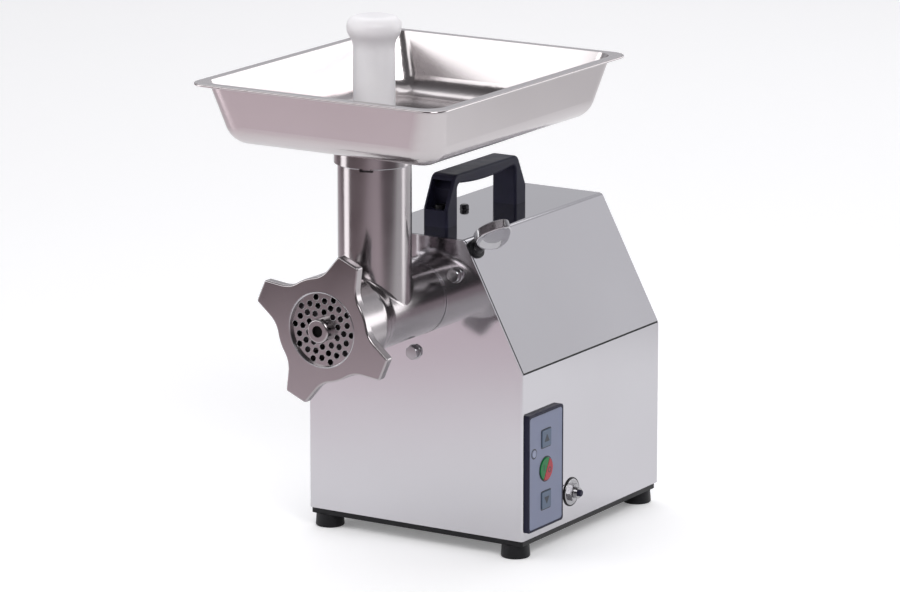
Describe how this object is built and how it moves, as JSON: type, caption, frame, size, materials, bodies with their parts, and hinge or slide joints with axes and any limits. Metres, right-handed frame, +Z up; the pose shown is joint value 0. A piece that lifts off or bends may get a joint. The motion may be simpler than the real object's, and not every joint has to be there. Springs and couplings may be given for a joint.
{
  "type": "electric meat grinder",
  "caption": "Electric meat grinder: sheet steel casing with motor and gears, clamped cast mincing head, ring nut with lugs, feed tray on a neck, pusher, side keys and carrying handle.",
  "frame": {"origin": "on the floor, under the middle of the bounding box", "axes": "+Z up, outlet towards -Y, keys on the +X side"},
  "size_m": [0.25, 0.4074, 0.478],
  "materials": {
    "polished_sheet": "mirror polished stainless sheet",
    "cast_steel": "polished cast stainless steel",
    "tray_steel": "polished pressed stainless sheet",
    "bright_bolt": "bright plated fastener",
    "gear_steel": "machined gear steel",
    "gearbox_alloy": "as cast aluminium alloy",
    "core_iron": "varnished lamination stack",
    "copper": "enamelled copper wire",
    "black_plate": "black painted steel",
    "black_rubber": "moulded rubber",
    "black_plastic": "moulded, fine texture",
    "white_plastic": "turned food grade polyethylene",
    "nylon": "nylon",
    "overlay_grey": "printed film",
    "key_grey": "moulded key",
    "key_green": "moulded key",
    "key_red": "moulded key",
    "lamp": "clear lens",
    "board": "glass fibre board",
    "can": "drawn can"
  },
  "bodies": {
    "casing": {"body_shell": "polished_sheet", "roof_cover": "polished_sheet", "rear_panel": "polished_sheet", "rear_screws": "bright_bolt", "cover_gasket": "black_rubber", "base_plate": "black_plate", "foot_screws": "bright_bolt", "carry_handle": "black_plastic", "handle_screws": "black_plate", "roof_screw": "black_plate", "foot_front_left": "black_rubber", "foot_front_right": "black_rubber", "foot_rear_left": "black_rubber", "foot_rear_right": "black_rubber", "panel_bezel": "black_plastic", "panel_overlay": "overlay_grey", "indicator_lamp": "lamp", "control_board": "board", "reset_plate": "bright_bolt", "reset_nut": "bright_bolt", "overload_switch": "bright_bolt", "cable_gland": "black_plastic", "capacitor": "can", "capacitor_clip": "gear_steel", "lock_grommet": "black_rubber", "hub_casting": "gearbox_alloy", "hub_bolts": "bright_bolt", "gearbox_case": "gearbox_alloy", "gearbox_screws": "gear_steel", "shaft_bearings": "gear_steel", "motor_bells": "gearbox_alloy", "stator_core": "core_iron", "stator_windings": "copper", "motor_bracket": "black_plate"},
    "head": {"worm_housing": "cast_steel", "worm_bush": "nylon", "cutting_plate": "cast_steel", "plate_key": "gear_steel"},
    "feed_worm": {"worm": "cast_steel", "worm_washer": "nylon", "knife": "gear_steel"},
    "clamp_ring": {"ring_nut": "cast_steel"},
    "tray": {"feed_tray": "tray_steel", "tray_collar": "cast_steel"},
    "pusher_rod": {"pusher": "white_plastic"},
    "thumb_screw": {"lock_screw": "bright_bolt"},
    "output_drive": {"output_shaft": "gear_steel", "output_gear": "gear_steel"},
    "middle_drive": {"middle_shaft": "gear_steel", "middle_gear": "gear_steel"},
    "rotor": {"motor_pinion": "gear_steel", "motor_shaft": "gear_steel", "rotor_core": "core_iron", "cooling_fan": "black_plastic"},
    "forward_button": {"forward_key": "key_grey"},
    "reverse_button": {"reverse_key": "key_grey"},
    "start_button": {"start_key": "key_green"},
    "stop_button": {"stop_key": "key_red"},
    "reset_plunger": {"reset_button": "black_plastic"}
  },
  "joints": [
    {"name": "rotor_spin", "type": "hinge", "parent": "casing", "child": "rotor", "pos_m": [0, 0, 0.1178], "axis": [0, 1, 0], "continuous": true},
    {"name": "middle_spin", "type": "hinge", "parent": "casing", "child": "middle_drive", "pos_m": [0, 0, 0.1643], "axis": [0, 1, 0], "continuous": true},
    {"name": "output_spin", "type": "hinge", "parent": "casing", "child": "output_drive", "pos_m": [0, 0, 0.2213], "axis": [0, 1, 0], "continuous": true},
    {"name": "head_pull", "type": "slide", "parent": "casing", "child": "head", "axis": [0, -1, 0], "range_m": [0, 0.12]},
    {"name": "worm_spin", "type": "hinge", "parent": "head", "child": "feed_worm", "pos_m": [0, 0, 0.2213], "axis": [0, 1, 0], "continuous": true},
    {"name": "ring_unscrew", "type": "hinge", "parent": "head", "child": "clamp_ring", "pos_m": [0, 0, 0.2213], "axis": [0, -1, 0], "range_deg": [0, 1080]},
    {"name": "tray_lift", "type": "slide", "parent": "head", "child": "tray", "axis": [0, 0, 1], "range_m": [0, 0.15]},
    {"name": "pusher_lift", "type": "slide", "parent": "head", "child": "pusher_rod", "axis": [0, 0, 1], "range_m": [0, 0.22]},
    {"name": "lock_turn", "type": "hinge", "parent": "casing", "child": "thumb_screw", "pos_m": [0, -0.0307, 0.2213], "axis": [0.766, 0, 0.6428], "range_deg": [0, 720]},
    {"name": "forward_press", "type": "slide", "parent": "casing", "child": "forward_button", "axis": [-1, 0, 0], "range_m": [0, 0.0009], "stiffness_N_per_m": 900},
    {"name": "reverse_press", "type": "slide", "parent": "casing", "child": "reverse_button", "axis": [-1, 0, 0], "range_m": [0, 0.0009], "stiffness_N_per_m": 900},
    {"name": "start_press", "type": "slide", "parent": "casing", "child": "start_button", "axis": [-1, 0, 0], "range_m": [0, 0.0009], "stiffness_N_per_m": 900},
    {"name": "stop_press", "type": "slide", "parent": "casing", "child": "stop_button", "axis": [-1, 0, 0], "range_m": [0, 0.0009], "stiffness_N_per_m": 900},
    {"name": "reset_press", "type": "slide", "parent": "casing", "child": "reset_plunger", "axis": [-1, 0, 0], "range_m": [0, 0.0025], "stiffness_N_per_m": 900}
  ],
  "couplings": [
    {"joint": "middle_spin", "follows": "rotor_spin", "ratio": -0.37778},
    {"joint": "output_spin", "follows": "rotor_spin", "ratio": 0.16056},
    {"joint": "worm_spin", "follows": "rotor_spin", "ratio": 0.16056}
  ]
}
